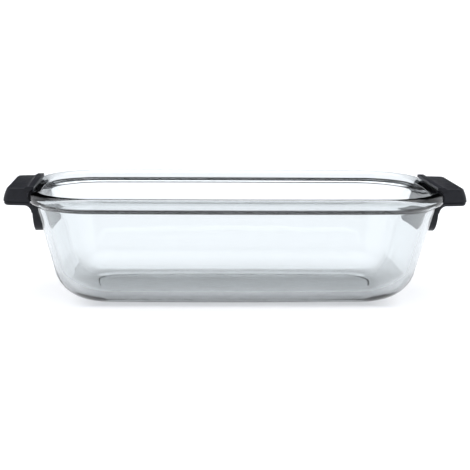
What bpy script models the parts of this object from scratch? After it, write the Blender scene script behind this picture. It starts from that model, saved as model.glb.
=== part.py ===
"""Pressed-glass loaf pan with a two-shell handle clamped on the lug at each end.

Metres, +Z up. The origin is on the surface that the pan stands on, under its middle.
X runs along the pan and Y across it. The pan is the same from either end, so one handle
is modelled at the +X end and its twin is the same handle turned half round the Z axis.
"""
import math

import bmesh
import bpy
from mathutils import Matrix, Vector

# ---- Glass dish -----------------------------------------------------------------------
RIM_HALF_LENGTH = 0.1322  # outside of the rim bead at the middle of an end
RIM_HALF_WIDTH = 0.0710
RIM_HEIGHT = 0.0720
RIM_CORNER = 0.037  # plan radius of the bead's outside at the corners
CORNER_SHRINK = 0.70  # how fast that radius shrinks as the outline moves inwards
END_BOW = 0.0045  # how far an end bulges beyond its corners
SIDE_BOW = 0.0022

BEAD_HEIGHT = 0.0082
BEAD_THICKNESS = 0.0084
BEAD_OVERHANG = 0.0048  # from the wall's outside to the bead's outside
WALL_SLOPE = math.radians(14.0)  # from vertical
WALL_THICKNESS = 0.0045
WALL_TOP = RIM_HEIGHT - BEAD_HEIGHT - 0.0010
HEEL_RADIUS = 0.0255  # the rounding between wall and base, outside
INNER_HEEL_RADIUS = 0.0210
FLOOR_HEIGHT = 0.0060  # top of the glass floor
FOOT_RECESS = 0.0008  # depth of the panel inside the foot ring
FOOT_WIDTH = 0.0018
INNER_RIM_DROP = 0.0050  # where the inner wall meets the bead, below the rim
BEAD_ARC = (-80, 150)  # degrees round the bead, from its underside to its inner top
BEAD_STEPS = 13

# ---- Lug: the ear of glass inside each handle -------------------------------------------
LUG_HALF_WIDTH = 0.0195
LUG_MIDDLE = RIM_HEIGHT - 0.0049
LUG_ROOT_X = 0.1290  # inside the bead
LUG_NECK_X = 0.1355
LUG_NOSE_X = 0.1390  # centre of the thick rounded nose
LUG_NECK_HALF = 0.0020
LUG_NOSE_HALF = 0.0025

# ---- Fits ---------------------------------------------------------------------------------
GAP = 0.0003  # between pieces that touch on the real pan
GLASS_GAP = 0.00035
CUSHION_WALL = 0.0007
CUSHION_START_X = 0.1329

# ---- Handle shells ------------------------------------------------------------------------
COVER_TOP = RIM_HEIGHT + 0.0010
SEAM = COVER_TOP - 0.0087  # where the cover meets the base shell
BASE_BOTTOM = SEAM - 0.0025
INNER_EDGE_X = 0.1276
COVER_TOP_X = 0.1449  # outer end at the top plane
SEAM_X = 0.1475  # outer end at the seam, the pan's furthest point
END_CROWN = 1.7  # power of the curve that the outer end follows between them
CROWN_STEPS = 4
TOP_HALF_WIDTHS = (0.0310, 0.0288)  # at the inner edge and at the outer end
SEAM_HALF_WIDTHS = (0.0316, 0.0294)
SHELL_CORNER = 0.0035
TOP_ROUND = 0.0007
BOTTOM_ROUND = 0.0016
BASE_STEP = 0.0004  # the base shell is set in from the cover
PLATE_INNER_X = 0.1303  # where the base plate stops under the bead
SHELL_WALL = 0.0022

RIDGE_TOP = COVER_TOP + 0.0011
RIDGE_OUTER_X = 0.1316
RIDGE_FOOT_X = 0.1342
RIDGE_HALF_WIDTH = 0.0310
RIDGE_SINK = 0.0016  # how deep the ridge is let into the cover
RIDGE_SOFT = 0.0003  # flats broken off its edges

POCKET_INNER_X = 0.1345
POCKET_SIDE = 0.0228
POCKET_CEILING = COVER_TOP - 0.0021

TONGUE_HALF_WIDTH = 0.0288
TONGUE_ROOT_X = 0.1297  # outer face, at the top
TONGUE_TIP_X = 0.1282  # outer face, near the bottom
TONGUE_FILLET = 0.0048
TONGUE_BEND_Z = 0.0480  # where the outer face starts to round off
TONGUE_BOTTOM = 0.0436
TONGUE_CORNER = 0.0110
TONGUE_TIP_ROUND = 0.0036
TONGUE_INNER_X = 0.1200  # well inside the glass, before the shell is cut back to it
TONGUE_LAP = 0.0010  # how far it reaches up into the plate

# ---- Screws ---------------------------------------------------------------------------------
SCREW_X = 0.1405
SCREW_Y = 0.0248
SCREW_RADIUS = 0.00115
SCREW_HEAD_RADIUS = 0.0022
SCREW_HEAD_DEPTH = 0.0013
SCREW_LENGTH = 0.0085
SCREW_SUNK = 0.0002  # head below the base shell's underside
RECESS_ARM = 0.0011
RECESS_WIDTH = 0.00045
RECESS_DEPTH = 0.0008
BOSS_RADIUS = 0.0026
TIP_LENGTH = 0.0011
TIP_SHARE = 0.45  # the screw tip's radius as a share of the shank's
HEAD_EDGE = 0.0002

MERGE = 0.00001
PAST = 0.0010  # how far a cutter runs past the face that it opens
OUTLINE_CORNER_STEPS = 10
OUTLINE_SIDE_STEPS = 6
ROUND_STEPS = 24


# ---- Scene ------------------------------------------------------------------------------
def clear_scene():
    for old in list(bpy.data.objects):
        bpy.data.objects.remove(old, do_unlink=True)


def new_collection(name):
    collection = bpy.data.collections.new(name)
    bpy.context.scene.collection.children.link(collection)
    return collection


def principled(name, colour, roughness, metallic=0.0, transmission=0.0):
    material = bpy.data.materials.new(name)
    material.use_nodes = True
    shader = material.node_tree.nodes["Principled BSDF"]
    shader.inputs["Base Color"].default_value = (*colour, 1.0)
    shader.inputs["Roughness"].default_value = roughness
    shader.inputs["Metallic"].default_value = metallic
    shader.inputs["Transmission Weight"].default_value = transmission
    return material


def add_object(name, mesh, collection, material=None):
    item = bpy.data.objects.new(name, mesh)
    collection.objects.link(item)
    if material:
        mesh.materials.clear()
        mesh.materials.append(material)
    return item


def add_cutter(name, mesh):
    item = add_object(name, mesh, CUTTERS)
    item.hide_render = True
    item.display_type = "WIRE"
    return item


def boolean(item, other, operation):
    modifier = item.modifiers.new(operation.lower(), "BOOLEAN")
    modifier.operation = operation
    modifier.object = other
    modifier.solver = "EXACT"


def baked_mesh(item, name, smooth_angle=35.0):
    """The object's mesh with its modifiers applied, shaded smooth except at its edges."""
    evaluated = item.evaluated_get(bpy.context.evaluated_depsgraph_get())
    mesh = bpy.data.meshes.new_from_object(evaluated)
    mesh.name = name
    mesh.shade_smooth()
    mesh.set_sharp_from_angle(angle=math.radians(smooth_angle))
    return mesh


# ---- Shape helpers ------------------------------------------------------------------------
def arc(centre, radius, start, end, steps):
    """Points on an arc, angles in degrees from +X of its plane."""
    points = []
    for step in range(steps + 1):
        angle = math.radians(start + (end - start) * step / steps)
        points.append((centre[0] + radius * math.cos(angle), centre[1] + radius * math.sin(angle)))
    return points


def loft(name, rings):
    """Skins a run of rings that differ in shape, and caps both ends."""
    shape = bmesh.new()
    rows = [[shape.verts.new(point) for point in ring] for ring in rings]
    for lower, upper in zip(rows, rows[1:]):
        for index, vert in enumerate(lower):
            after = (index + 1) % len(lower)
            shape.faces.new((vert, lower[after], upper[after], upper[index]))
    shape.faces.new(list(reversed(rows[0])))
    shape.faces.new(rows[-1])
    bmesh.ops.recalc_face_normals(shape, faces=shape.faces)
    return to_mesh(shape, name)


def to_mesh(shape, name):
    mesh = bpy.data.meshes.new(name)
    shape.to_mesh(mesh)
    shape.free()
    return mesh


def prism(name, outline, half_width):
    """An outline in the XZ plane, carried half_width to each side along Y."""
    shape = bmesh.new()
    verts = [shape.verts.new((x, -half_width, z)) for x, z in outline]
    face = shape.faces.new(verts)
    grown = bmesh.ops.extrude_face_region(shape, geom=[face])["geom"]
    moved = [item for item in grown if isinstance(item, bmesh.types.BMVert)]
    bmesh.ops.translate(shape, verts=moved, vec=(0.0, 2 * half_width, 0.0))
    bmesh.ops.recalc_face_normals(shape, faces=shape.faces)
    return to_mesh(shape, name)


def box_mesh(name, low, high):
    shape = bmesh.new()
    size = Vector(high) - Vector(low)
    middle = (Vector(high) + Vector(low)) / 2
    matrix = Matrix.Translation(middle) @ Matrix.Diagonal((*size, 1.0))
    bmesh.ops.create_cube(shape, size=1.0, matrix=matrix)
    return to_mesh(shape, name)


def rod_mesh(name, radii, low, high):
    """A cylinder or cone round the screw's axis, at (SCREW_X, SCREW_Y)."""
    shape = bmesh.new()
    place = Matrix.Translation((SCREW_X, SCREW_Y, (low + high) / 2))
    bmesh.ops.create_cone(
        shape,
        cap_ends=True,
        segments=ROUND_STEPS,
        radius1=radii[0],
        radius2=radii[1],
        depth=high - low,
        matrix=place,
    )
    return to_mesh(shape, name)


def mirror_across_y(mesh):
    """Adds the copy on the other side of the XZ plane, as a body of its own."""
    shape = bmesh.new()
    shape.from_mesh(mesh)
    copy = bmesh.ops.duplicate(shape, geom=shape.verts[:] + shape.edges[:] + shape.faces[:])["geom"]
    verts = [item for item in copy if isinstance(item, bmesh.types.BMVert)]
    faces = [item for item in copy if isinstance(item, bmesh.types.BMFace)]
    bmesh.ops.scale(shape, verts=verts, vec=(1.0, -1.0, 1.0))
    bmesh.ops.reverse_faces(shape, faces=faces)
    shape.to_mesh(mesh)
    shape.free()
    return mesh


# ---- Dish ---------------------------------------------------------------------------------
def dish_outline(inset, height):
    """The dish's plan at one height: a rounded rectangle with slightly bowed sides."""
    half_x = RIM_HALF_LENGTH - inset
    half_y = RIM_HALF_WIDTH - inset
    radius = RIM_CORNER - CORNER_SHRINK * inset
    points = []
    for sign_x, sign_y, start in ((1, 1, 0), (-1, 1, 90), (-1, -1, 180), (1, -1, 270)):
        centre = (sign_x * (half_x - radius), sign_y * (half_y - radius))
        corner = arc(centre, radius, start, start + 90, OUTLINE_CORNER_STEPS)
        points.extend(corner)
        along_x = sign_x == sign_y
        far = half_x - radius if along_x else half_y - radius
        for step in range(1, OUTLINE_SIDE_STEPS):
            share = 1 - 2 * step / OUTLINE_SIDE_STEPS
            if along_x:
                points.append((sign_x * far * share, corner[-1][1]))
            else:
                points.append((corner[-1][0], sign_y * far * share))
    ring = []
    for x, y in points:
        bowed_x = x * (1 - END_BOW * (y / half_y) ** 2 / half_x)
        bowed_y = y * (1 - SIDE_BOW * (x / half_x) ** 2 / half_y)
        ring.append((bowed_x, bowed_y, height))
    return ring


def wall_inset(height):
    """Inset of the wall's outside from the bead's outside."""
    return BEAD_OVERHANG + (WALL_TOP - height) * math.tan(WALL_SLOPE)


def heel(radius, lowest, wall_extra, steps):
    """The rounding from the flat base up to the wall, as (inset, height) points."""
    end = 90 - math.degrees(WALL_SLOPE)
    top = lowest + radius * (1 - math.cos(math.radians(end)))
    inset_at_top = wall_inset(top) + wall_extra
    points = []
    for step in range(steps + 1):
        angle = math.radians(end * step / steps)
        inset = inset_at_top + radius * (math.sin(math.radians(end)) - math.sin(angle))
        points.append((inset, lowest + radius * (1 - math.cos(angle))))
    return points


def bead(start, end, steps, grow=0.0):
    """The rim bead's section from its underside, round the outside, to its top."""
    half = BEAD_THICKNESS / 2
    middle = RIM_HEIGHT - BEAD_HEIGHT / 2
    points = []
    for step in range(steps + 1):
        angle = math.radians(start + (end - start) * step / steps)
        inset = half - (half + grow) * math.cos(angle)
        points.append((inset, middle + (BEAD_HEIGHT / 2 + grow) * math.sin(angle)))
    return points


def dish_mesh():
    wall_extra = WALL_THICKNESS / math.cos(WALL_SLOPE)
    outside = heel(HEEL_RADIUS, 0.0, 0.0, 8)
    foot = outside[0][0]
    recess = [(foot + FOOT_WIDTH + FOOT_RECESS, FOOT_RECESS), (foot + FOOT_WIDTH, 0.0)]
    inside_heel = list(reversed(heel(INNER_HEEL_RADIUS, FLOOR_HEIGHT, wall_extra, 7)))
    inner_top = RIM_HEIGHT - INNER_RIM_DROP
    inside = [(wall_inset(inner_top) + wall_extra, inner_top), *inside_heel]
    wall = [(wall_inset(WALL_TOP), WALL_TOP), *bead(*BEAD_ARC, BEAD_STEPS)]
    section = [*recess, *outside, *wall, *inside]
    return loft("dish_body", [dish_outline(inset, height) for inset, height in section])


def glass_clearance_mesh():
    """The dish's outside, filled in and grown by the fit: what the shells are cut back from."""
    section = heel(HEEL_RADIUS, 0.0, 0.0, 3)
    section.append((wall_inset(WALL_TOP), WALL_TOP))
    grown = [(inset - GLASS_GAP, height) for inset, height in section]
    grown += bead(BEAD_ARC[0], 90, BEAD_STEPS - 2, GLASS_GAP)
    return loft("glass_clearance", [dish_outline(inset, height) for inset, height in grown])


def lug_outline(grow, start_x):
    """The lug's section: a neck that thickens to a rounded nose, which the shells lock behind."""
    nose = LUG_NOSE_HALF + grow
    neck = LUG_NECK_HALF + grow
    outline = [(start_x, LUG_MIDDLE - neck), (LUG_NECK_X, LUG_MIDDLE - neck)]
    outline += arc((LUG_NOSE_X, LUG_MIDDLE), nose, -90, 90, 8)
    outline += [(LUG_NECK_X, LUG_MIDDLE + neck), (start_x, LUG_MIDDLE + neck)]
    return outline


def glass_dish_mesh():
    body = add_cutter("dish_body", dish_mesh())
    for side in (1, -1):
        lug = prism("lug", lug_outline(0.0, LUG_ROOT_X), LUG_HALF_WIDTH)
        lug.transform(Matrix.Rotation(math.pi * (side < 0), 4, "Z"))
        boolean(body, add_cutter("lug", lug), "UNION")
    return baked_mesh(body, "glass_dish", 30.0)


# ---- Handle -------------------------------------------------------------------------------
def shell_outline(outer_x, half_widths, inset, height, inner_x=INNER_EDGE_X):
    """The handle's plan at one height: narrower towards its outer end, with round corners."""
    outer = outer_x - inset
    inner_half = half_widths[0] - inset
    outer_half = half_widths[1] - inset
    taper = math.atan2(inner_half - outer_half, outer - INNER_EDGE_X)
    radius = max(SHELL_CORNER - inset, 0.0008)
    half_at = inner_half - (inner_x - INNER_EDGE_X) * math.tan(taper)
    centre_x = outer - radius
    edge_at_centre = inner_half - (centre_x - INNER_EDGE_X) * math.tan(taper)
    centre_y = edge_at_centre - radius / math.cos(taper)
    upper = [(inner_x, half_at)]
    upper += arc((centre_x, centre_y), radius, 90 - math.degrees(taper), 0, 6)
    lower = [(x, -y) for x, y in reversed(upper)]
    return [(x, y, height) for x, y in upper + lower]


def rounded(radius, steps):
    """(inset, drop) pairs round a quarter circle, from the side to the flat."""
    pairs = []
    for step in range(steps + 1):
        angle = math.radians(90 * step / steps)
        pairs.append((radius * (1 - math.cos(angle)), radius * (1 - math.sin(angle))))
    return pairs


def cover_block_mesh():
    """The cover's outside: drafted sides, a crowned outer end and a rounded top edge."""
    rings = []
    for step in range(CROWN_STEPS):
        share = step / CROWN_STEPS
        outer_x = SEAM_X + (COVER_TOP_X - SEAM_X) * share**END_CROWN
        halves = [a + (b - a) * share for a, b in zip(SEAM_HALF_WIDTHS, TOP_HALF_WIDTHS)]
        rings.append(shell_outline(outer_x, halves, 0.0, SEAM + (COVER_TOP - SEAM) * share))
    for inset, drop in rounded(TOP_ROUND, 3):
        rings.append(shell_outline(COVER_TOP_X, TOP_HALF_WIDTHS, inset, COVER_TOP - drop))
    return loft("cover_block", rings)


def ridge_mesh():
    under = COVER_TOP - RIDGE_SINK
    outline = [
        (INNER_EDGE_X, under),
        (INNER_EDGE_X, RIDGE_TOP - RIDGE_SOFT),
        (INNER_EDGE_X + RIDGE_SOFT, RIDGE_TOP),
        (RIDGE_OUTER_X - RIDGE_SOFT, RIDGE_TOP),
        (RIDGE_OUTER_X + RIDGE_SOFT, RIDGE_TOP - RIDGE_SOFT),
        (RIDGE_FOOT_X, COVER_TOP - RIDGE_SOFT),
        (RIDGE_FOOT_X, under),
    ]
    return prism("ridge", outline, RIDGE_HALF_WIDTH)


def pocket_cutter():
    """The hollows beside the lug, each with a screw boss left standing in it."""
    rings = []
    for outer_x, halves, height in (
        (SEAM_X, SEAM_HALF_WIDTHS, SEAM - PAST),
        (COVER_TOP_X, TOP_HALF_WIDTHS, POCKET_CEILING),
    ):
        rings.append(shell_outline(outer_x, halves, SHELL_WALL, height, POCKET_INNER_X))
    pocket = add_cutter("pocket", loft("pocket", rings))
    low = (POCKET_INNER_X - PAST, -POCKET_SIDE, SEAM - 2 * PAST)
    high = (SEAM_X, POCKET_SIDE, COVER_TOP)
    middle = box_mesh("pocket_middle", low, high)
    boolean(pocket, add_cutter("pocket_middle", middle), "DIFFERENCE")
    boss = mirror_across_y(rod_mesh("boss", (BOSS_RADIUS, BOSS_RADIUS), SEAM, COVER_TOP))
    boolean(pocket, add_cutter("boss", boss), "DIFFERENCE")
    return add_cutter("pocket_with_boss", baked_mesh(pocket, "pocket_with_boss"))


def screw_hole_cutter():
    """The clearance round both screws: shank and countersunk head."""
    bottom = BASE_BOTTOM + SCREW_SUNK
    shank = SCREW_RADIUS + GAP
    head = SCREW_HEAD_RADIUS + GAP
    hole = rod_mesh("hole", (shank, shank), bottom, bottom + SCREW_LENGTH + GAP)
    sink = rod_mesh("sink", (head, shank), bottom, bottom + SCREW_HEAD_DEPTH + GAP)
    mouth = rod_mesh("mouth", (head, head), BASE_BOTTOM - PAST, bottom + SCREW_SUNK / 10)
    drill = add_cutter("drill", mirror_across_y(hole))
    for part in (sink, mouth):
        boolean(drill, add_cutter(part.name, mirror_across_y(part)), "UNION")
    return add_cutter("screw_holes", baked_mesh(drill, "screw_holes"))


def cushion_space_cutter():
    grow = GAP + CUSHION_WALL + GAP
    outline = lug_outline(grow, INNER_EDGE_X)
    return add_cutter("cushion_space", prism("cushion_space", outline, LUG_HALF_WIDTH + grow))


def cover_mesh(cuts):
    block = add_cutter("cover_block", cover_block_mesh())
    boolean(block, add_cutter("ridge", ridge_mesh()), "UNION")
    for cut in cuts:
        boolean(block, cut, "DIFFERENCE")
    return baked_mesh(block, "handle_cover")


def base_plate_mesh():
    """The lower shell's plate, its bottom edge rounded."""
    rings = []
    for inset, drop in reversed(rounded(BOTTOM_ROUND, 4)):
        height = BASE_BOTTOM + drop
        step = BASE_STEP + inset
        rings.append(shell_outline(SEAM_X, SEAM_HALF_WIDTHS, step, height, PLATE_INNER_X))
    top = SEAM - GAP
    rings.append(shell_outline(SEAM_X, SEAM_HALF_WIDTHS, BASE_STEP, top, PLATE_INNER_X))
    return loft("base_plate", rings)


def tongue_mesh():
    """The finger guard: it leaves the plate in a fillet and runs down the end wall."""
    root_x = TONGUE_ROOT_X + TONGUE_FILLET
    lap = BASE_BOTTOM + TONGUE_LAP
    outline = [(root_x, lap)]
    outline += arc((root_x, BASE_BOTTOM - TONGUE_FILLET), TONGUE_FILLET, 90, 180, 5)
    round_x = TONGUE_TIP_X - TONGUE_TIP_ROUND
    outline += arc((round_x, TONGUE_BEND_Z), TONGUE_TIP_ROUND, 0, -70, 5)
    outline += [(TONGUE_INNER_X, TONGUE_BOTTOM), (TONGUE_INNER_X, lap)]
    return prism("tongue", outline, TONGUE_HALF_WIDTH + PAST)


def tongue_trim_mesh():
    """The tongue seen from the end: straight sides and a broad round bottom."""
    centre_y = TONGUE_HALF_WIDTH - TONGUE_CORNER
    centre_z = TONGUE_BOTTOM + TONGUE_CORNER
    half = [(TONGUE_HALF_WIDTH, RIM_HEIGHT)]
    half += arc((centre_y, centre_z), TONGUE_CORNER, 0, -90, 7)
    outline = half + [(-y, z) for y, z in reversed(half)]
    ends = (TONGUE_INNER_X - PAST, POCKET_INNER_X)
    return loft("tongue_trim", [[(x, y, z) for y, z in outline] for x in ends])


def base_mesh(cuts):
    tongue = add_cutter("tongue", tongue_mesh())
    boolean(tongue, add_cutter("tongue_trim", tongue_trim_mesh()), "INTERSECT")
    plate = add_cutter("base_plate", base_plate_mesh())
    boolean(plate, add_cutter("trimmed_tongue", baked_mesh(tongue, "tongue")), "UNION")
    for cut in cuts:
        boolean(plate, cut, "DIFFERENCE")
    return baked_mesh(plate, "handle_base")


def cushion_mesh():
    """The soft cap that sits on the lug between the two shells."""
    outer = GAP + CUSHION_WALL
    body = prism("lug_cushion", lug_outline(outer, CUSHION_START_X), LUG_HALF_WIDTH + outer)
    space = prism("lug_space", lug_outline(GAP, INNER_EDGE_X), LUG_HALF_WIDTH + GAP)
    cap = add_cutter("lug_cushion", body)
    boolean(cap, add_cutter("lug_space", space), "DIFFERENCE")
    return baked_mesh(cap, "lug_cushion")


def screw_mesh():
    """A countersunk screw, head down, turned round its own axis and standing on the origin."""
    profile = [
        (0.0, SCREW_LENGTH),
        (SCREW_RADIUS * TIP_SHARE, SCREW_LENGTH),
        (SCREW_RADIUS, SCREW_LENGTH - TIP_LENGTH),
        (SCREW_RADIUS, SCREW_HEAD_DEPTH),
        (SCREW_HEAD_RADIUS, HEAD_EDGE),
        (SCREW_HEAD_RADIUS, 0.0),
        (0.0, 0.0),
    ]
    shape = bmesh.new()
    verts = [shape.verts.new((x, 0.0, z)) for x, z in profile]
    for first, second in zip(verts, verts[1:]):
        shape.edges.new((first, second))
    bare = add_cutter("screw", to_mesh(shape, "screw"))
    turn = bare.modifiers.new("turn", "SCREW")
    turn.steps = ROUND_STEPS
    turn.render_steps = ROUND_STEPS
    turn.use_merge_vertices = True
    turn.merge_threshold = MERGE
    for arms in ((RECESS_ARM, RECESS_WIDTH / 2), (RECESS_WIDTH / 2, RECESS_ARM)):
        low = (-arms[0], -arms[1], -PAST)
        high = (arms[0], arms[1], RECESS_DEPTH)
        boolean(bare, add_cutter("recess", box_mesh("recess", low, high)), "DIFFERENCE")
    return baked_mesh(bare, "handle_screw")


# ---- Build ----------------------------------------------------------------------------------
clear_scene()
PARTS = new_collection("glass_loaf_pan")
CUTTERS = new_collection("cutters")

GLASS = principled("clear_glass", (0.95, 0.97, 0.97), 0.0, transmission=1.0)
SHELL = principled("black_plastic", (0.013, 0.014, 0.017), 0.38)
SILICONE = principled("grey_silicone", (0.10, 0.10, 0.11), 0.7)
STEEL = principled("steel", (0.56, 0.57, 0.58), 0.3, metallic=1.0)

add_object("glass_dish", glass_dish_mesh(), PARTS, GLASS)

glass_cut = add_cutter("glass_clearance", glass_clearance_mesh())
cushion_cut = cushion_space_cutter()
screw_cut = screw_hole_cutter()
cover = cover_mesh([glass_cut, cushion_cut, pocket_cutter(), screw_cut])
base = base_mesh([glass_cut, cushion_cut, screw_cut])
cushion = cushion_mesh()
screw = screw_mesh()

for side, turn in (("right", 0.0), ("left", math.pi)):
    mount = bpy.data.objects.new(side + "_handle", None)
    PARTS.objects.link(mount)
    pieces = [
        add_object(side + "_handle_cover", cover, PARTS, SHELL),
        add_object(side + "_handle_base", base, PARTS, SHELL),
        add_object(side + "_lug_cushion", cushion, PARTS, SILICONE),
    ]
    for end, sign in (("front", -1), ("back", 1)):
        piece = add_object(side + "_screw_" + end, screw, PARTS, STEEL)
        place = sign if side == "right" else -sign
        piece.location = (SCREW_X, place * SCREW_Y, BASE_BOTTOM + SCREW_SUNK)
        pieces.append(piece)
    for piece in pieces:
        piece.parent = mount
    mount.rotation_euler.z = turn
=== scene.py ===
# %% [markdown]
# # A pressed-glass loaf pan with clamped handles
#
# The real pan is one piece of clear pressed glass with a thick rim bead. At each end the bead
# carries an ear of glass, the lug, and a black handle made of two plastic shells is screwed
# together round it. This lesson builds the looks of every piece on top of the CAD frame:
# the frame gives each piece its place and size, and the new mesh gives it its surface.

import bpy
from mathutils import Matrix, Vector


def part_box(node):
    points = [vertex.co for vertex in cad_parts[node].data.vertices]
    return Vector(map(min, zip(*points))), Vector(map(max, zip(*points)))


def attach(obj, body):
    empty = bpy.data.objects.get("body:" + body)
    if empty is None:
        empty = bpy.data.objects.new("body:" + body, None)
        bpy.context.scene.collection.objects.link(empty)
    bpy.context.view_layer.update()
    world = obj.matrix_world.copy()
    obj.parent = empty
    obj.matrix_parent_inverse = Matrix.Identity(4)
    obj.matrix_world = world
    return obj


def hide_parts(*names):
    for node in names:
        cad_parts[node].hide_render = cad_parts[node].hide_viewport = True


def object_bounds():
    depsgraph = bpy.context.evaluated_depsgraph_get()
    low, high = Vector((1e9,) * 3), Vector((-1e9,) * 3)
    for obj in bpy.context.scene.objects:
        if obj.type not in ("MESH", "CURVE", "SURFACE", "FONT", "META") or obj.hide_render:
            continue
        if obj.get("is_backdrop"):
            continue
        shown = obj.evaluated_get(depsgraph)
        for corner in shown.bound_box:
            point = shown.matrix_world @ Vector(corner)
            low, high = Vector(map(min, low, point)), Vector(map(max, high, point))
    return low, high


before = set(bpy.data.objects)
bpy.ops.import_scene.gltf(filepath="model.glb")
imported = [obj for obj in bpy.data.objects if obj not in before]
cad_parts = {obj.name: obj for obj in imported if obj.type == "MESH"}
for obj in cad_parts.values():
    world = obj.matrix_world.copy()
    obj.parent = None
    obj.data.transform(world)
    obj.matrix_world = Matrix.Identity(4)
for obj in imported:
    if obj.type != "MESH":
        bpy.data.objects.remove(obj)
cad_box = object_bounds()
print("CAD pieces:", ", ".join(sorted(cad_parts)))

# %% [markdown]
# ## Working in millimetres
#
# Blender works in metres, but a pan is measured in millimetres, so lengths are written as
# `37 * MM`. A few helpers come first: one turns a bmesh into an object, one joins or cuts whole
# solids and leaves a plain mesh, and small ones make a box, a cut and a rounded edge.

# %% Helpers for meshes
import math

import bmesh
import bpy
from mathutils import Matrix, Vector

MM = 0.001
TINY = 0.00001
SLIVER = 0.000002  # points this close after a boolean are one point


def add_piece(name, shape, sharp_angle=35.0):
    """Makes an object of a bmesh, with merged points, outward faces and smooth shading."""
    bmesh.ops.remove_doubles(shape, verts=shape.verts, dist=TINY / 10)
    bmesh.ops.recalc_face_normals(shape, faces=shape.faces)
    mesh = bpy.data.meshes.new(name)
    shape.to_mesh(mesh)
    shape.free()
    mesh.shade_smooth()
    mesh.set_sharp_from_angle(angle=math.radians(sharp_angle))
    piece = bpy.data.objects.new(name, mesh)
    bpy.context.scene.collection.objects.link(piece)
    return piece


def combine(piece, tools, operation, sharp_angle=35.0, check_self=False):
    """Adds or takes away whole solids, and leaves one plain mesh. The tools are used up."""
    for tool in tools:
        step = piece.modifiers.new(operation.lower(), "BOOLEAN")
        step.operation = operation
        step.object = tool
        step.solver = "EXACT"
        step.use_self = check_self
    made = piece.evaluated_get(bpy.context.evaluated_depsgraph_get())
    mesh = bpy.data.meshes.new_from_object(made)
    piece.modifiers.clear()
    piece.data = mesh
    shape = bmesh.new()
    shape.from_mesh(mesh)
    bmesh.ops.remove_doubles(shape, verts=shape.verts, dist=SLIVER)
    bmesh.ops.dissolve_degenerate(shape, edges=shape.edges, dist=SLIVER)
    shape.to_mesh(mesh)
    shape.free()
    mesh.shade_smooth()
    mesh.set_sharp_from_angle(angle=math.radians(sharp_angle))
    for tool in tools:
        bpy.data.objects.remove(tool, do_unlink=True)
    return piece


def copy_of(piece):
    twin = piece.copy()
    twin.data = piece.data.copy()
    bpy.context.scene.collection.objects.link(twin)
    return twin


def block(low, high):
    """A bmesh box between two corners."""
    shape = bmesh.new()
    low, high = Vector(low), Vector(high)
    place = Matrix.Translation((low + high) / 2) @ Matrix.Diagonal((*(high - low), 1.0))
    bmesh.ops.create_cube(shape, size=1.0, matrix=place)
    return shape


def cut(shape, place, away, merge=TINY, clear_inner=False):
    """Cuts a bmesh along a plane, and returns the edges that lie on the cut."""
    made = bmesh.ops.bisect_plane(
        shape,
        geom=shape.verts[:] + shape.edges[:] + shape.faces[:],
        plane_co=place,
        plane_no=away,
        dist=merge,
        clear_inner=clear_inner,
    )["geom_cut"]
    return [item for item in made if isinstance(item, bmesh.types.BMEdge)]


def edges_where(shape, test):
    """The edges whose two ends both pass a test on their place."""
    return [edge for edge in shape.edges if all(test(vert.co) for vert in edge.verts)]


def round_edges(shape, edges, radius, segments):
    bmesh.ops.bevel(
        shape,
        geom=edges,
        offset=radius,
        offset_type="OFFSET",
        segments=segments,
        profile=0.5,
        affect="EDGES",
        material=-1,
    )


# %% [markdown]
# ## The plan of the dish
#
# Seen from above, the rim is a rectangle with large round corners and sides that bow out a
# little. Lower down, the glass tapers in and the corners tighten. So each level of the dish
# is the same ring of points set in by some amount. Every point is a station on that ring: a
# place on the straight core of the rectangle, and a direction out from it.

# %% Ring stations
dish_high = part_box("glass_dish")[1]
rim_height = dish_high.z
rim_half_width = dish_high.y
rim_half_length = 132.2 * MM
rim_corner = 37.0 * MM
corner_shrink = 0.70  # how fast the corner radius shrinks as the ring is set in
end_bow = 4.5 * MM
side_bow = 2.2 * MM
corner_steps = 26
side_steps = {"long": 26, "short": 18}

stations = []
for sign_x, sign_y, start in ((1, 1, 0), (-1, 1, 90), (-1, -1, 180), (1, -1, 270)):
    for step in range(corner_steps + 1):
        angle = math.radians(start + 90 * step / corner_steps)
        stations.append((sign_x, sign_y, math.cos(angle), math.sin(angle)))
    long_side = sign_x == sign_y
    steps = side_steps["long" if long_side else "short"]
    for step in range(1, steps):
        share = 1 - 2 * step / steps
        if long_side:
            stations.append((sign_x * share, sign_y, 0.0, sign_y))
        else:
            stations.append((sign_x, sign_y * share, sign_x, 0.0))
print("points on each ring:", len(stations))


# %% One ring, placed
def place_ring(verts, layer, inset, height):
    """Moves a ring of points to its place on the dish, set in from the rim's outside."""
    half_x = rim_half_length - inset
    half_y = rim_half_width - inset
    radius = rim_corner - corner_shrink * inset
    for vert in verts:
        core_x, core_y, out_x, out_y = stations[vert[layer]]
        x = core_x * (half_x - radius) + out_x * radius
        y = core_y * (half_y - radius) + out_y * radius
        x, y = (
            x * (1 - end_bow * (y / half_y) ** 2 / half_x),
            y * (1 - side_bow * (x / half_x) ** 2 / half_y),
        )
        vert.co = (x, y, height)


def ring_skin(section):
    """Starts from one circle of points and extrudes it along a section, ring by ring."""
    shape = bmesh.new()
    layer = shape.verts.layers.int.new("station")
    made = bmesh.ops.create_circle(shape, cap_ends=False, segments=len(stations), radius=1.0)
    for index, vert in enumerate(made["verts"]):
        vert[layer] = index
    ring = made["verts"]
    place_ring(ring, layer, *section[0])
    edges = shape.edges[:]
    bmesh.ops.edgeloop_fill(shape, edges=edges)
    for inset, height in section[1:]:
        grown = bmesh.ops.extrude_edge_only(shape, edges=edges)["geom"]
        ring = [item for item in grown if isinstance(item, bmesh.types.BMVert)]
        fresh = set(ring)
        edges = [
            item
            for item in grown
            if isinstance(item, bmesh.types.BMEdge) and fresh.issuperset(item.verts)
        ]
        place_ring(ring, layer, inset, height)
    bmesh.ops.edgeloop_fill(shape, edges=edges)
    return shape


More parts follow.
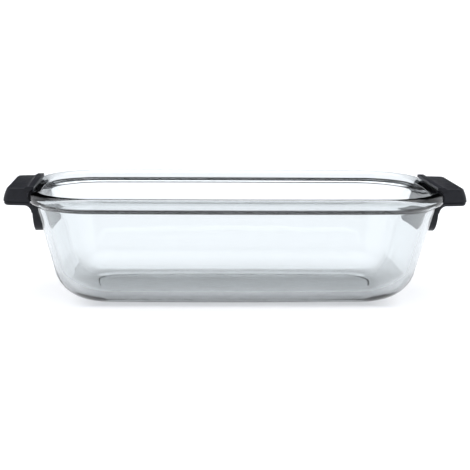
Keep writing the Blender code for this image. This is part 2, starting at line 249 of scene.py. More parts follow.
# %% [markdown]
# ## The section of the glass
#
# Pressed glass has no sharp corners: the plunger and the mould leave a rounding wherever two
# surfaces meet. The section is written from the middle of the underside outwards: the raised
# panel, the foot ring, the heel, the wall, round the thick bead, and down the inside again.
# A small function rounds each corner that is left between those runs.

# %% Section measurements
bead_height = 8.2 * MM
bead_thickness = 8.4 * MM
bead_overhang = 4.8 * MM
bead_middle = rim_height - bead_height / 2
wall_slope = math.radians(14.0)
wall_thickness = 4.5 * MM
wall_across = wall_thickness / math.cos(wall_slope)
wall_top = rim_height - bead_height - 1.0 * MM
heel_radius = 25.5 * MM
inner_heel_radius = 21.0 * MM
floor_height = 6.0 * MM
foot_recess = 0.8 * MM
foot_width = 1.8 * MM
inner_top = rim_height - 5.0 * MM
corner_reach = 1.1 * MM  # how far from a corner its rounding starts
cap_margin = 4.0 * MM  # flat rings inside the foot and the floor, before each is closed
bead_start, bead_end = -78, 150  # degrees, from the bead's underside to its inner top
blunt = 14  # degrees; a corner of the section that turns less than this is left alone
side_share = 0.45  # of a side: the most that the rounding of one corner takes


def wall_inset(height):
    return bead_overhang + (wall_top - height) * math.tan(wall_slope)


def heel(radius, lowest, extra, steps):
    """The rounding between the base and the wall, as (inset, height)."""
    end = math.pi / 2 - wall_slope
    top = lowest + radius * (1 - math.cos(end))
    run = []
    for step in range(steps + 1):
        angle = end * step / steps
        inset = wall_inset(top) + extra + radius * (math.sin(end) - math.sin(angle))
        run.append((inset, lowest + radius * (1 - math.cos(angle))))
    return run


def bead(start, end, steps, grow=0.0):
    """The rim bead, from its underside round the outside to its inner top, in degrees."""
    half = bead_thickness / 2
    run = []
    for step in range(steps + 1):
        angle = math.radians(start + (end - start) * step / steps)
        inset = half - (half + grow) * math.cos(angle)
        run.append((inset, bead_middle + (bead_height / 2 + grow) * math.sin(angle)))
    return run


def straight(first, last, steps):
    """Evenly spaced points between two ends, without the ends."""
    shares = [step / steps for step in range(1, steps)]
    return [tuple(a + (b - a) * share for a, b in zip(first, last)) for share in shares]


def soften(run, reach, steps=5):
    """Rounds every corner in a run of section points that turns enough to show."""
    softened = [run[0]]
    for before, here, after in zip(run, run[1:], run[2:]):
        back = Vector(before) - Vector(here)
        ahead = Vector(after) - Vector(here)
        if back.angle(-ahead) < math.radians(blunt):
            softened.append(here)
            continue
        start = Vector(here) + back.normalized() * min(reach, back.length * side_share)
        end = Vector(here) + ahead.normalized() * min(reach, ahead.length * side_share)
        for step in range(steps + 1):
            share = step / steps
            first = start.lerp(Vector(here), share)
            softened.append(tuple(first.lerp(Vector(here).lerp(end, share), share)))
    return softened + [run[-1]]


# %% The whole section, and the dish body
outer_heel = heel(heel_radius, 0.0, 0.0, 26)
inner_heel = heel(inner_heel_radius, floor_height, wall_across, 24)[::-1]
foot_edge = outer_heel[0][0]
wall_end = (wall_inset(wall_top), wall_top)
bead_run = bead(bead_start, bead_end, 44)
inner_start = (wall_inset(inner_top) + wall_across, inner_top)

dish_section = [
    (foot_edge + foot_width + 2 * cap_margin, foot_recess),
    (foot_edge + foot_width + cap_margin, foot_recess),
    (foot_edge + foot_width + foot_recess, foot_recess),
    (foot_edge + foot_width, 0.0),
    *outer_heel,
    *straight(outer_heel[-1], wall_end, 6),
    wall_end,
    *bead_run,
    inner_start,
    *straight(inner_start, inner_heel[0], 6),
    *inner_heel,
    (inner_heel[-1][0] + cap_margin, floor_height),
    (inner_heel[-1][0] + 2 * cap_margin, floor_height),
]
dish_section = soften(dish_section, corner_reach)
dish = add_piece("pressed_glass_dish", ring_skin(dish_section))
print("rings:", len(dish_section), "faces:", len(dish.data.polygons))

# %% [markdown]
# ## The lugs
#
# Each lug is a flat tab of glass that thickens to a round nose, so that a handle clamped
# round it can't slide off. It starts as a box: a cut across it marks where the neck ends, the
# two loops towards the dish are squeezed thinner, and the nose is a bevel of half the height.

# %% Lugs, joined to the dish
lug_half_width = 19.5 * MM
lug_middle = rim_height - 4.9 * MM
lug_root_x = 129.0 * MM
lug_neck_x = 135.5 * MM
lug_nose_half = 2.5 * MM
lug_tip_x = dish_high.x
neck_share = 0.8  # thickness of the neck against the nose
almost = 0.999  # a full half would leave edges of no length on the nose


def lug_solid(name, grow, start_x):
    """The lug, or the space round it when grow is more than nothing."""
    half = lug_nose_half + grow
    low = (start_x, -lug_half_width - grow, lug_middle - half)
    high = (lug_tip_x + grow, lug_half_width + grow, lug_middle + half)
    shape = block(low, high)
    cut(shape, (lug_neck_x, 0, 0), (1, 0, 0))
    nose = edges_where(shape, lambda co: co.x > high[0] - TINY)
    nose = [edge for edge in nose if abs(edge.verts[0].co.z - edge.verts[1].co.z) < TINY]
    round_edges(shape, nose, half * almost, 8)
    neck = [vert for vert in shape.verts if vert.co.x < lug_neck_x + TINY]
    thinner = (lug_nose_half * neck_share + grow) / half
    about = Matrix.Translation((0, 0, -lug_middle))
    bmesh.ops.scale(shape, verts=neck, vec=(1, 1, thinner), space=about)
    return add_piece(name, shape)


half_turn = Matrix.Rotation(math.pi, 4, "Z")
lugs = [lug_solid("lug", 0.0, lug_root_x) for _ in range(2)]
lugs[1].data.transform(half_turn)
combine(dish, lugs, "UNION", 30.0)
print("dish with lugs:", len(dish.data.polygons), "faces")

# %% [markdown]
# ## The handle shells
#
# A handle is two injection-moulded shells. The cover has drafted sides, a crowned outer end
# and a raised ridge along the rim. The base closes it from below and runs down the wall of
# the dish as a finger guard. Both start as boxes. Bevels round the upright corners, level cuts
# give the ends their crown, and booleans take away the glass, the lug and the screw holes.

# %% Handle measurements
cover_low, cover_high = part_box("right_handle_cover")
base_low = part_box("right_handle_base")[0]
ridge_top = cover_high.z
ridge_rise = 1.1 * MM  # the ridge's top above the cover's
cover_top = ridge_top - ridge_rise
seam = cover_low.z
base_bottom = 61.8 * MM
inner_edge_x = 127.6 * MM
outer_x = cover_high.x
top_outer_x = 144.9 * MM
seam_half_widths = (31.6 * MM, 29.4 * MM)  # at the inner edge and at the outer end
draft = 0.6 * MM
end_crown = 1.7  # power of the curve that the outer end follows
cover_round = 0.75 * MM
seam_round = 0.22 * MM
shell_corner = 3.5 * MM
fit_gap = 0.3 * MM
glass_gap = 0.35 * MM
cushion_wall = 0.7 * MM
pocket_inner_x = 134.5 * MM
shell_wall = 2.2 * MM
plate_inner_x = 130.3 * MM
base_step = 0.4 * MM  # the base is set in from the cover
ridge_lip = 0.06 * MM  # how far the ridge stands in over the cover's inner edge


# %% Cover and base plate blocks
def shell_block(inner_x, outer, half_widths, bottom, top):
    """A box that narrows towards its outer end and has round upright corners."""
    shape = block((inner_x, -half_widths[0], bottom), (outer, half_widths[0], top))
    far = [vert for vert in shape.verts if vert.co.x > outer - TINY]
    bmesh.ops.scale(shape, verts=far, vec=(1, half_widths[1] / half_widths[0], 1))
    upright = [
        edge
        for edge in edges_where(shape, lambda co: co.x > outer - TINY)
        if abs(edge.verts[0].co.z - edge.verts[1].co.z) > TINY
    ]
    round_edges(shape, upright, shell_corner, 9)
    return shape


def outline_edges(shape, height, inner_x):
    """The sharp edges at one height, apart from those along the glass."""
    level = edges_where(shape, lambda co: abs(co.z - height) < TINY)
    level = [edge for edge in level if edge.calc_face_angle(0.0) > math.radians(25)]
    return [edge for edge in level if any(vert.co.x > inner_x + TINY for vert in edge.verts)]


def crown_sides(shape, bottom, top):
    """Cuts level loops and pulls each one in, so the end curves and the sides lean."""
    levels = 10
    for step in range(1, levels):
        height = bottom + (top - bottom) * step / levels
        cut(shape, (0, 0, height), (0, 0, 1), merge=TINY / 10)
    about = Matrix.Translation((-inner_edge_x, 0, 0))
    reach = outer_x - inner_edge_x
    for step in range(levels + 1):
        share = step / levels
        height = bottom + (top - bottom) * share
        loop = [vert for vert in shape.verts if abs(vert.co.z - height) < TINY]
        along = 1 - (outer_x - top_outer_x) * share**end_crown / reach
        across = 1 - draft * share / seam_half_widths[0]
        bmesh.ops.scale(shape, verts=loop, vec=(along, across, 1), space=about)


cover_shape = shell_block(
    inner_edge_x + ridge_lip, outer_x, seam_half_widths, seam, cover_top
)
crown_sides(cover_shape, seam, cover_top)
round_edges(cover_shape, outline_edges(cover_shape, cover_top, inner_edge_x), cover_round, 4)
round_edges(cover_shape, outline_edges(cover_shape, seam, inner_edge_x), seam_round, 2)
cover = add_piece("right_cover", cover_shape)
print("cover block faces:", len(cover.data.polygons))

# %% [markdown]
# The ridge along the inner edge is a bar with a flat top that slopes down to the cover. One
# cut marks where the slope starts, the outer edge of the top is lowered, and small bevels
# give the thin bright lines that moulded edges catch.

# %% Ridge
ridge_outer_x = 131.6 * MM
ridge_foot_x = 134.2 * MM
ridge_half_width = 31.0 * MM
ridge_sink = 1.6 * MM  # how deep the bar is let into the cover
slope_sink = 0.3 * MM  # where the slope ends, below the cover's top
ridge_edge_round = 0.3 * MM
crest_round = 0.7 * MM
ridge_shape = block(
    (inner_edge_x, -ridge_half_width, cover_top - ridge_sink),
    (ridge_foot_x, ridge_half_width, ridge_top),
)
cut(ridge_shape, (ridge_outer_x, 0, 0), (1, 0, 0))
foot = [v for v in ridge_shape.verts if v.co.x > ridge_foot_x - TINY and v.co.z > cover_top]
bmesh.ops.translate(ridge_shape, verts=foot, vec=(0, 0, cover_top - slope_sink - ridge_top))
rest_of_top = [
    edge
    for edge in edges_where(ridge_shape, lambda co: co.z > cover_top - 0.4 * MM)
    if edge.calc_face_angle(0.0) > math.radians(50)
    and not all(vert.co.x > ridge_foot_x - TINY for vert in edge.verts)
]
round_edges(ridge_shape, rest_of_top, ridge_edge_round, 3)
crest = edges_where(
    ridge_shape, lambda co: co.z > ridge_top - TINY and abs(co.x - ridge_outer_x) < 0.2 * MM
)
round_edges(ridge_shape, crest, crest_round, 4)
ridge = add_piece("ridge", ridge_shape)
combine(cover, [ridge], "UNION")

# %% [markdown]
# ## What the shells are cut back from
#
# The shells follow the glass with a third of a millimetre to spare. The dish's outside,
# grown by that much and filled in, is the tool that cuts them. The space for the lug is cut
# a little larger again, because a soft silicone cushion sits between lug and shell.

# %% Cutting tools
glass_section = [(inset - glass_gap, height) for inset, height in heel(heel_radius, 0.0, 0.0, 12)]
glass_section.append((wall_inset(wall_top) - glass_gap, wall_top))
glass_section += bead(-105, 90, 36, glass_gap)
glass_shape = ring_skin(glass_section)
tool_start_x = 110 * MM  # the shells lie beyond this, and above tool_bottom
tool_bottom = 35 * MM
for place, away in (((tool_start_x, 0, 0), (1, 0, 0)), ((0, 0, tool_bottom), (0, 0, 1))):
    open_edges = cut(glass_shape, place, away, merge=TINY / 10, clear_inner=True)
    bmesh.ops.edgeloop_fill(glass_shape, edges=open_edges)
glass_tool = add_piece("glass_tool", glass_shape)
print("glass tool faces:", len(glass_tool.data.polygons))

cushion_grow = fit_gap + cushion_wall
cushion_tool = lug_solid("cushion_tool", cushion_grow + fit_gap, inner_edge_x)

screw_x = 140.5 * MM
screw_y = 24.8 * MM
screw_radius = 1.15 * MM
screw_head_radius = 2.2 * MM
screw_head_depth = 1.3 * MM
screw_low, screw_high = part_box("right_screw_back")


def rod(name, radii, low, high, sign):
    """A cylinder or cone on a screw's axis."""
    shape = bmesh.new()
    place = Matrix.Translation((screw_x, sign * screw_y, (low + high) / 2))
    bmesh.ops.create_cone(
        shape,
        cap_ends=True,
        segments=40,
        radius1=radii[0],
        radius2=radii[1],
        depth=high - low,
        matrix=place,
    )
    return add_piece(name, shape)


def screw_hole(sign):
    """The hole for one screw: a shank, a countersink and a straight mouth."""
    shank = screw_radius + fit_gap
    head = screw_head_radius + fit_gap
    bottom = screw_low.z
    hole = rod("hole", (shank, shank), bottom, screw_high.z + fit_gap, sign)
    sink = rod("sink", (head, shank), bottom, bottom + screw_head_depth + fit_gap, sign)
    mouth = rod("mouth", (head, head), bottom - 2 * MM, bottom + TINY, sign)
    return combine(hole, [sink, mouth], "UNION")


screw_tools = [screw_hole(sign) for sign in (1, -1)]


# %% Pockets in the cover, and the cuts
pocket_sides = (22.8 * MM, 26.4 * MM)
roof_thickness = 2.1 * MM
boss_radius = 2.6 * MM


def pocket_tool(sign):
    """The hollow beside the lug, with a boss for the screw left standing in it."""
    low = (pocket_inner_x, pocket_sides[0], seam - 1 * MM)
    high = (top_outer_x - shell_wall, pocket_sides[1], cover_top - roof_thickness)
    shape = block(low, high)
    if sign < 0:
        bmesh.ops.scale(shape, verts=shape.verts, vec=(1, -1, 1))
    pocket = add_piece("pocket", shape)
    boss = rod("boss", (boss_radius, boss_radius), seam - 2 * MM, cover_top, sign)
    return combine(pocket, [boss], "DIFFERENCE")


pockets = [pocket_tool(sign) for sign in (1, -1)]
cover_tools = [copy_of(glass_tool), copy_of(cushion_tool), *map(copy_of, screw_tools)]
combine(cover, [*cover_tools, *pockets], "DIFFERENCE", check_self=True)
print("cover faces:", len(cover.data.polygons))

# %% [markdown]
# ## The base shell and its finger guard
#
# The guard is a tongue that keeps fingers off hot glass. From the end it is a broad tab with
# round lower corners. From the side it leaves the plate in a fillet and leans in with the
# wall, with its edges broken all round. The fillet is a square bar less a rod.

# %% Base shell
tongue_half_width = 28.8 * MM
tongue_root_x = 129.7 * MM
tongue_tip_x = 128.2 * MM
tongue_bottom = base_low.z
tongue_corner = 11.0 * MM
tongue_edge_round = 0.45 * MM
plate_round = 1.6 * MM  # along its underside
lip_round = 0.2 * MM  # along the joint with the cover
tongue_inner_x = 119.0 * MM
fillet_radius = 4.8 * MM
plate_top = seam - fit_gap
lap = base_bottom + 1.0 * MM

plate_widths = tuple(width - base_step for width in seam_half_widths)
plate_shape = shell_block(
    plate_inner_x, outer_x - base_step, plate_widths, base_bottom, plate_top
)
round_edges(plate_shape, outline_edges(plate_shape, base_bottom, plate_inner_x), plate_round, 6)
round_edges(plate_shape, outline_edges(plate_shape, plate_top, plate_inner_x), lip_round, 2)
base = add_piece("right_base", plate_shape)

tongue_shape = block(
    (tongue_inner_x, -tongue_half_width, tongue_bottom),
    (tongue_root_x, tongue_half_width, lap),
)
low_front = [
    vert
    for vert in tongue_shape.verts
    if vert.co.x > tongue_root_x - TINY and vert.co.z < tongue_bottom + TINY
]
bmesh.ops.translate(tongue_shape, verts=low_front, vec=(tongue_tip_x - tongue_root_x, 0, 0))
low_corners = [
    edge
    for edge in edges_where(tongue_shape, lambda co: co.z < tongue_bottom + TINY)
    if abs(edge.verts[0].co.x - edge.verts[1].co.x) > 1 * MM
]
round_edges(tongue_shape, low_corners, tongue_corner, 12)
outline = [
    edge
    for edge in edges_where(tongue_shape, lambda co: co.x > tongue_tip_x - TINY)
    if edge.calc_face_angle(0.0) > math.radians(40) and min(v.co.z for v in edge.verts) < lap - MM
]
round_edges(tongue_shape, outline, tongue_edge_round, 4)
tongue = add_piece("tongue", tongue_shape)

fillet_bar = add_piece(
    "fillet",
    block(
        (tongue_root_x - 1 * MM, -tongue_half_width, base_bottom - fillet_radius),
        (tongue_root_x + fillet_radius, tongue_half_width, lap),
    ),
)
rod_shape = bmesh.new()
across = Matrix.Rotation(math.pi / 2, 4, "X")
middle = Matrix.Translation((tongue_root_x + fillet_radius, 0, base_bottom - fillet_radius))
bmesh.ops.create_cone(
    rod_shape,
    cap_ends=True,
    segments=64,
    radius1=fillet_radius,
    radius2=fillet_radius,
    depth=4 * tongue_half_width,
    matrix=middle @ across,
)
combine(fillet_bar, [add_piece("fillet_rod", rod_shape)], "DIFFERENCE")
combine(base, [tongue, fillet_bar], "UNION")
combine(base, [glass_tool, copy_of(cushion_tool), *screw_tools], "DIFFERENCE")
print("base faces:", len(base.data.polygons))

# %% [markdown]
# ## Cushion and screws
#
# The cushion is a cap of silicone that is pulled over the lug before the shells close. The
# screws are countersunk and self-tapping: half of their section is spun round the axis, and
# two crossed boxes cut the recess for the driver. The thread is drawn as rings, because the
# screws sit deep in their holes and only the heads can be seen.

# %% Lug cushion
cushion_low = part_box("right_lug_cushion")[0]
cushion = lug_solid("right_cushion", cushion_grow, cushion_low.x)
combine(cushion, [lug_solid("lug_space", fit_gap, inner_edge_x)], "DIFFERENCE")
bpy.data.objects.remove(cushion_tool, do_unlink=True)

# %% Screws
thread_pitch = 0.8 * MM
thread_root = 0.86 * MM
screw_length = screw_high.z - screw_low.z
plain_shank = 0.6 * MM  # below the head, before the thread starts
tip_length = 1.1 * MM
tip_radius = 0.5 * MM
head_edge = 0.1 * MM
head_rim = 0.25 * MM  # height of the head's edge, before the cone below it
root_share, crest_share = 0.35, 0.85  # of a pitch: to the root, and to the next crest


def spun(name, profile):
    """A closed turned piece, from (radius, height) points that start and end on the axis."""
    shape = bmesh.new()
    verts = [shape.verts.new((radius, 0, height)) for radius, height in profile]
    line = [shape.edges.new(pair) for pair in zip(verts, verts[1:])]
    bmesh.ops.spin(
        shape,
        geom=verts + line,
        cent=(0, 0, 0),
        axis=(0, 0, 1),
        angle=2 * math.pi,
        steps=40,
        use_merge=True,
    )
    return add_piece(name, shape, 30.0)


profile = [(0, 0), (screw_head_radius - head_edge, 0), (screw_head_radius, head_edge)]
profile += [(screw_head_radius, head_rim), (screw_radius, screw_head_depth)]
height = screw_head_depth + plain_shank
profile.append((screw_radius, height))
while height + thread_pitch < screw_length - tip_length:
    profile.append((thread_root, height + thread_pitch * root_share))
    profile.append((screw_radius, height + thread_pitch * crest_share))
    profile.append((screw_radius, height + thread_pitch))
    height += thread_pitch
profile += [(thread_root, height + 0.2 * MM), (tip_radius, screw_length), (0, screw_length)]

screw = spun("screw", profile)
arm, width, depth = 1.1 * MM, 0.225 * MM, 0.8 * MM
recess = add_piece("recess", block((-arm, -width, -MM), (arm, width, depth)))
crossed = add_piece("recess", block((-width, -arm, -MM), (width, arm, depth)))
combine(screw, [recess, crossed], "DIFFERENCE", 30.0)
print("screw faces:", len(screw.data.polygons))

# %% [markdown]
# ## Both handles in place
#
# One handle has been modelled, at the +X end. The other is the same handle turned half round
# the upright axis. The turn goes into the mesh, so that every object stays at the origin.

# %% Place the pieces of both handles
shown = {}


def stand_in(piece, node, turn=Matrix.Identity(4)):
    """Moves a copy of a mesh into place and lets it stand for a CAD node."""
    made = copy_of(piece)
    made.name = node + "_looks"
    made.data.name = node + "_looks"
    made.data.transform(turn)
    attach(made, "root")
    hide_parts(node)
    shown[node] = made
    return made


stand_in(dish, "glass_dish")
for side, turn in (("right", Matrix.Identity(4)), ("left", half_turn)):
    stand_in(cover, side + "_handle_cover", turn)
    stand_in(base, side + "_handle_base", turn)
    stand_in(cushion, side + "_lug_cushion", turn)
    for end in ("front", "back"):
        node = side + "_screw_" + end
        low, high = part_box(node)
        middle = (low + high) / 2
        stand_in(screw, node, Matrix.Translation((middle.x, middle.y, low.z)) @ turn)
for source in (dish, cover, base, cushion, screw):
    bpy.data.objects.remove(source, do_unlink=True)
for node, piece in shown.items():
    print(node, len(piece.data.polygons), "faces")

# %% [markdown]
# ## Colours and nodes
#
# Colours are picked as sRGB hex values, the way a colour card gives them, but shaders work
# in linear light. One function converts them. A second adds a node with its settings and
# links, so that each material reads as a short list, and three small ones wrap the kinds of
# node that are used most.


# %% Helpers for materials
def linear(hex_colour):
    """Turns an sRGB hex colour into linear RGBA."""
    channels = [int(hex_colour[place : place + 2], 16) / 255 for place in (1, 3, 5)]
    light = [c / 12.92 if c <= 0.04045 else ((c + 0.055) / 1.055) ** 2.4 for c in channels]
    return (*light, 1.0)


def add_node(tree, kind, inputs=None, **settings):
    """Adds a node. An input may be a value, or an output socket to link."""
    node = tree.nodes.new(kind)
    for name, value in settings.items():
        setattr(node, name, value)
    for name, value in (inputs or {}).items():
        if isinstance(value, bpy.types.NodeSocket):
            tree.links.new(value, node.inputs[name])
        else:
            node.inputs[name].default_value = value
    return node


def noise(tree, place, size, detail):
    """A noise whose features are about as large as size."""
    inputs = {"Vector": place.outputs["Object"], "Scale": 1 / size, "Detail": detail}
    return add_node(tree, "ShaderNodeTexNoise", inputs).outputs["Fac"]


def ramp(tree, value, start, end, low=0.0, high=1.0):
    """A soft ramp from low to high while a value runs from start to end."""
    inputs = {"Value": value, "From Min": start, "From Max": end, "To Min": low, "To Max": high}
    made = add_node(tree, "ShaderNodeMapRange", inputs, interpolation_type="SMOOTHSTEP")
    return made.outputs["Result"]


def maths(tree, operation, *values):
    """One step of arithmetic."""
    made = add_node(tree, "ShaderNodeMath", dict(enumerate(values)), operation=operation)
    return made.outputs["Value"]


def new_material(name):
    material = bpy.data.materials.new(name)
    material.use_nodes = True
    material.node_tree.nodes.clear()
    return material, material.node_tree


# %% [markdown]
# ## Pressed borosilicate glass
#
# Ovenware glass is pressed in an iron mould and fire-polished, so it is clear and glossy but
# never quite even: the surface rolls in long soft waves, with a fine ripple from the cold
# mould. That is what makes streaks in what is seen through it. The glass has a faint cool
# tint that only shows where the eye looks through a lot of it, so it is a volume colour.

# %% Glass
glass, tree = new_material("pressed_borosilicate_glass")
place = add_node(tree, "ShaderNodeTexCoord")
wave_size = 22 * MM
ripple_size = 4 * MM
waves = noise(tree, place, wave_size, 1.0)
ripple = noise(tree, place, ripple_size, 2.0)
rolled = add_node(
    tree,
    "ShaderNodeBump",
    {"Height": waves, "Strength": 1.0, "Distance": 0.10 * MM},
)
rippled = add_node(
    tree,
    "ShaderNodeBump",
    {
        "Height": ripple,
        "Strength": 1.0,
        "Distance": 0.008 * MM,
        "Normal": rolled.outputs["Normal"],
    },
)
surface = add_node(
    tree,
    "ShaderNodeBsdfPrincipled",
    {
        "Base Color": linear("#FCFEFE"),
        "Roughness": 0.0,
        "IOR": 1.474,
        "Transmission Weight": 1.0,
        "Normal": rippled.outputs["Normal"],
    },
)
tint = add_node(
    tree, "ShaderNodeVolumeAbsorption", {"Color": linear("#CED1D3"), "Density": 80.0}
)
add_node(
    tree,
    "ShaderNodeOutputMaterial",
    {"Surface": surface.outputs["BSDF"], "Volume": tint.outputs["Volume"]},
)
print("glass waves every", round(wave_size / MM), "mm")

# %% [markdown]
# ## Moulded black nylon
#
# The shells are injection-moulded in a steel tool whose surface was spark-eroded, which leaves
# a fine even grain of about a tenth of a millimetre. Grain that fine can't show at this
# distance, so it is drawn three times as coarse. It scatters the light, so the plastic is
# half matt, and the broad cloudiness comes from how the melt filled the tool.

# %% Black nylon
nylon, tree = new_material("moulded_black_nylon")
place = add_node(tree, "ShaderNodeTexCoord")
grain = noise(tree, place, 0.35 * MM, 3.0)
clouds = noise(tree, place, 4 * MM, 4.0)
tone = add_node(
    tree,
    "ShaderNodeMix",
    {"Factor": clouds, "A": linear("#16171B"), "B": linear("#26272C")},
    data_type="RGBA",
)
matt = add_node(
    tree,
    "ShaderNodeMapRange",
    {"Value": clouds, "To Min": 0.26, "To Max": 0.48},
)
etched = add_node(
    tree,
    "ShaderNodeBump",
    {"Height": grain, "Strength": 0.6, "Distance": 0.03 * MM},
)
surface = add_node(
    tree,
    "ShaderNodeBsdfPrincipled",
    {
        "Base Color": tone.outputs["Result"],
        "Roughness": matt.outputs["Result"],
        "IOR": 1.53,
        "Specular IOR Level": 0.15,
        "Normal": etched.outputs["Normal"],
    },
)
add_node(tree, "ShaderNodeOutputMaterial", {"Surface": surface.outputs["BSDF"]})

# %% [markdown]
# ## Silicone and stainless steel
#
# The cushion is moulded silicone rubber: dark grey, soft and dull, with a dusty bloom. The
# screws are cold-headed stainless steel, tumbled in a drum, which dulls them unevenly.

# %% Silicone
silicone, tree = new_material("moulded_silicone_rubber")
place = add_node(tree, "ShaderNodeTexCoord")
bloom = noise(tree, place, 2.5 * MM, 5.0)
tone = add_node(
    tree,
    "ShaderNodeMix",
    {"Factor": bloom, "A": linear("#4A4A4D"), "B": linear("#606064")},
    data_type="RGBA",
)
soft = add_node(
    tree,
    "ShaderNodeBump",
    {"Height": bloom, "Strength": 0.3, "Distance": 0.02 * MM},
)
surface = add_node(
    tree,
    "ShaderNodeBsdfPrincipled",
    {
        "Base Color": tone.outputs["Result"],
        "Roughness": 0.72,
        "IOR": 1.41,
        "Sheen Weight": 0.15,
        "Normal": soft.outputs["Normal"],
    },
)
add_node(tree, "ShaderNodeOutputMaterial", {"Surface": surface.outputs["BSDF"]})

# %% Stainless steel
steel, tree = new_material("tumbled_stainless_steel")
place = add_node(tree, "ShaderNodeTexCoord")
spangle = noise(tree, place, 0.6 * MM, 4.0)
dulled = add_node(
    tree,
    "ShaderNodeMapRange",
    {"Value": spangle, "To Min": 0.22, "To Max": 0.45},
)
tone = add_node(
    tree,
    "ShaderNodeMix",
    {"Factor": spangle, "A": linear("#B4B8BC"), "B": linear("#CDD0D2")},
    data_type="RGBA",
)
surface = add_node(
    tree,
    "ShaderNodeBsdfPrincipled",
    {
        "Base Color": tone.outputs["Result"],
        "Metallic": 1.0,
        "Roughness": dulled.outputs["Result"],
    },
)
add_node(tree, "ShaderNodeOutputMaterial", {"Surface": surface.outputs["BSDF"]})

# %% Give each piece its material
finishes = {
    "glass_dish": (glass, "glass"),
    "handle_cover": (nylon, "handle_plastic"),
    "handle_base": (nylon, "handle_plastic"),
    "lug_cushion": (silicone, "silicone"),
    "screw": (steel, "screw_steel"),
}
for node, piece in shown.items():
    for part, (material, slot) in finishes.items():
        if part in node:
            piece.data.materials.clear()
            piece.data.materials.append(material)
    print(node, "->", piece.data.materials[0].name)

# %% [markdown]
# ## The table
#
# The pan stands on a plain light table of opal acrylic, as glass often does in a studio. It
# glows softly, so the pan hardly throws a shadow. Under the pan the glow is turned down: that
# dimmer patch is a painted contact shadow, so that the glass keeps a darker base. It sweeps up
# far away, so that no horizon shows: it is a disc whose edge is extruded outwards and upwards
# in a gentle curve.

# %% Table
table_radius = 7.0
sweep_radius = 2.0
sweep_steps = 12
sweep_end = math.radians(35)
contact_gap = 0.05 * MM  # glass never touches a table all over
painted_shadow_half_length = 98 * MM  # the painted contact shadow under the pan
painted_shadow_half_width = 45 * MM
# Glow levels: the lower one is the painted contact shadow under the pan, the higher one the open
# table.
painted_shadow_glow, open_glow = 0.31, 0.60

table_shape = bmesh.new()
bmesh.ops.create_circle(table_shape, cap_ends=True, segments=96, radius=table_radius)
rim = table_shape.edges[:]
for step in range(1, sweep_steps + 1):
    angle = sweep_end * step / sweep_steps
    grown = bmesh.ops.extrude_edge_only(table_shape, edges=rim)["geom"]
    ring = [item for item in grown if isinstance(item, bmesh.types.BMVert)]
    fresh = set(ring)
    rim = [e for e in grown if isinstance(e, bmesh.types.BMEdge) and fresh.issuperset(e.verts)]
    out = table_radius + sweep_radius * math.sin(angle)
    up = sweep_radius * (1 - math.cos(angle))
    for vert in ring:
        flat = Vector((vert.co.x, vert.co.y, 0)).normalized() * out
        vert.co = (flat.x, flat.y, up)
bmesh.ops.translate(table_shape, verts=table_shape.verts, vec=(0, 0, -contact_gap))
table = add_piece("table", table_shape)
acrylic, tree = new_material("opal_acrylic_light_table_painted_shadow")
place = add_node(tree, "ShaderNodeTexCoord")
spot = add_node(tree, "ShaderNodeSeparateXYZ", {"Vector": place.outputs["Object"]})
# Painted shadow: the glow is turned down in a soft-edged box under the pan's foot.
along = maths(tree, "DIVIDE", maths(tree, "ABSOLUTE", spot.outputs["X"]), painted_shadow_half_length)
across = maths(tree, "DIVIDE", maths(tree, "ABSOLUTE", spot.outputs["Y"]), painted_shadow_half_width)
reach = maths(tree, "MAXIMUM", along, across)
surface = add_node(
    tree,
    "ShaderNodeBsdfPrincipled",
    {
        "Base Color": linear("#B8B9BA"),
        "Roughness": 0.85,
        "Emission Color": linear("#FCFCFE"),
        "Emission Strength": ramp(tree, reach, 0.80, 1.15, painted_shadow_glow, open_glow),
    },
)
add_node(tree, "ShaderNodeOutputMaterial", {"Surface": surface.outputs["BSDF"]})
table.data.materials.append(acrylic)
table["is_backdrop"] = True

# %% [markdown]
# ## Light
#
# Clear glass shows only what is round it, and in an all-white room it would vanish. So the
# room has a large soft ceiling light, a low white card all round except behind, a tall soft
# light at each side, and walls that are almost black. The bead draws dark lines where it bends
# the view to the walls, and bright ones where it bends it to a light. Each light is a range
# of directions: Z is how far up, X how far to a side and Y how far behind.

# %% Room
ceiling_light, card_light, side_light, wall_light = 2.6, 1.2, 1.15, 0.005

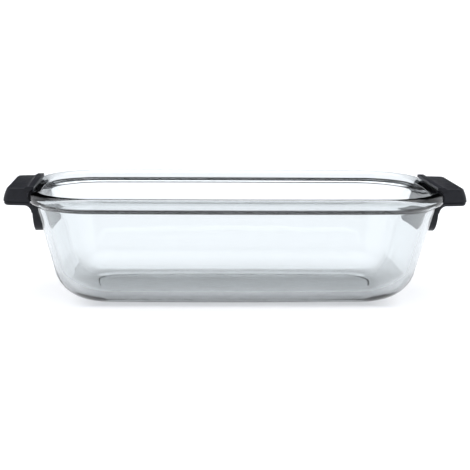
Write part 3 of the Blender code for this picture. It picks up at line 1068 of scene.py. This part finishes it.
room = bpy.data.worlds.new("studio_room")
room.use_nodes = True
tree = room.node_tree
tree.nodes.clear()
place = add_node(tree, "ShaderNodeTexCoord")
direction = add_node(tree, "ShaderNodeSeparateXYZ", {"Vector": place.outputs["Generated"]})
aside = maths(tree, "ABSOLUTE", direction.outputs["X"])
ceiling = ramp(tree, direction.outputs["Z"], 0.60, 0.82, high=ceiling_light)
low = ramp(tree, direction.outputs["Z"], 0.25, 0.10)
ahead = ramp(tree, direction.outputs["Y"], 0.35, 0.05, high=card_light)
sides = ramp(tree, aside, 0.45, 0.72, high=side_light)
lights = maths(tree, "MAXIMUM", ceiling, maths(tree, "MULTIPLY", low, ahead))
lights = maths(tree, "MAXIMUM", lights, sides)
walls = maths(tree, "ADD", lights, wall_light)
sky = add_node(
    tree,
    "ShaderNodeBackground",
    {"Color": linear("#F9FBFF"), "Strength": walls},
)
add_node(tree, "ShaderNodeOutputWorld", {"Surface": sky.outputs["Background"]})
bpy.context.scene.world = room

# Light that runs along inside the wall meets glass many times before it leaves.
glass_bounces = 40
bpy.context.scene.cycles.max_bounces = glass_bounces
bpy.context.scene.cycles.transmission_bounces = glass_bounces

# %% [markdown]
# ## Camera
#
# A long lens from a little above the rim keeps the pan's long sides nearly level. The frame
# is shifted sideways rather than the camera turned, so the pan is still seen square on.

# %% Camera
focal_length = 87.24  # millimetres, on a sensor 36 wide
camera_place = (-0.0425, -0.7402, 0.1814)
camera_turn = (1.82, 11.006, 0.43)  # degrees to the right, down and rolled
frame_shift = 0.06383  # share of the picture's width; it moves the frame, not the camera

lens_data = bpy.data.cameras.new("camera")
lens_data.sensor_width = 36.0
lens_data.lens = focal_length
lens_data.shift_x = frame_shift
lens_data.clip_end = 100.0
camera = bpy.data.objects.new("camera", lens_data)
bpy.context.scene.collection.objects.link(camera)
yaw, pitch, roll = (math.radians(angle) for angle in camera_turn)
forward = Vector(
    (math.sin(yaw) * math.cos(pitch), math.cos(yaw) * math.cos(pitch), -math.sin(pitch))
)
level = Vector((math.cos(yaw), -math.sin(yaw), 0))
upward = level.cross(forward)
right = level * math.cos(roll) + upward * math.sin(roll)
upward = right.cross(forward)
turn = Matrix((right, upward, -forward)).transposed().to_4x4()
camera.matrix_world = Matrix.Translation(camera_place) @ turn
bpy.context.scene.camera = camera
bpy.context.scene.view_settings.view_transform = "Standard"

# %% Measure the looks against the CAD box, and finish
looks_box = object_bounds()
boxes = {"cad": [list(corner) for corner in cad_box], "looks": [list(c) for c in looks_box]}
for label, corners in boxes.items():
    spans = [round((high - low) / MM, 2) for low, high in zip(*corners)]
    print(label, "box, mm:", spans)
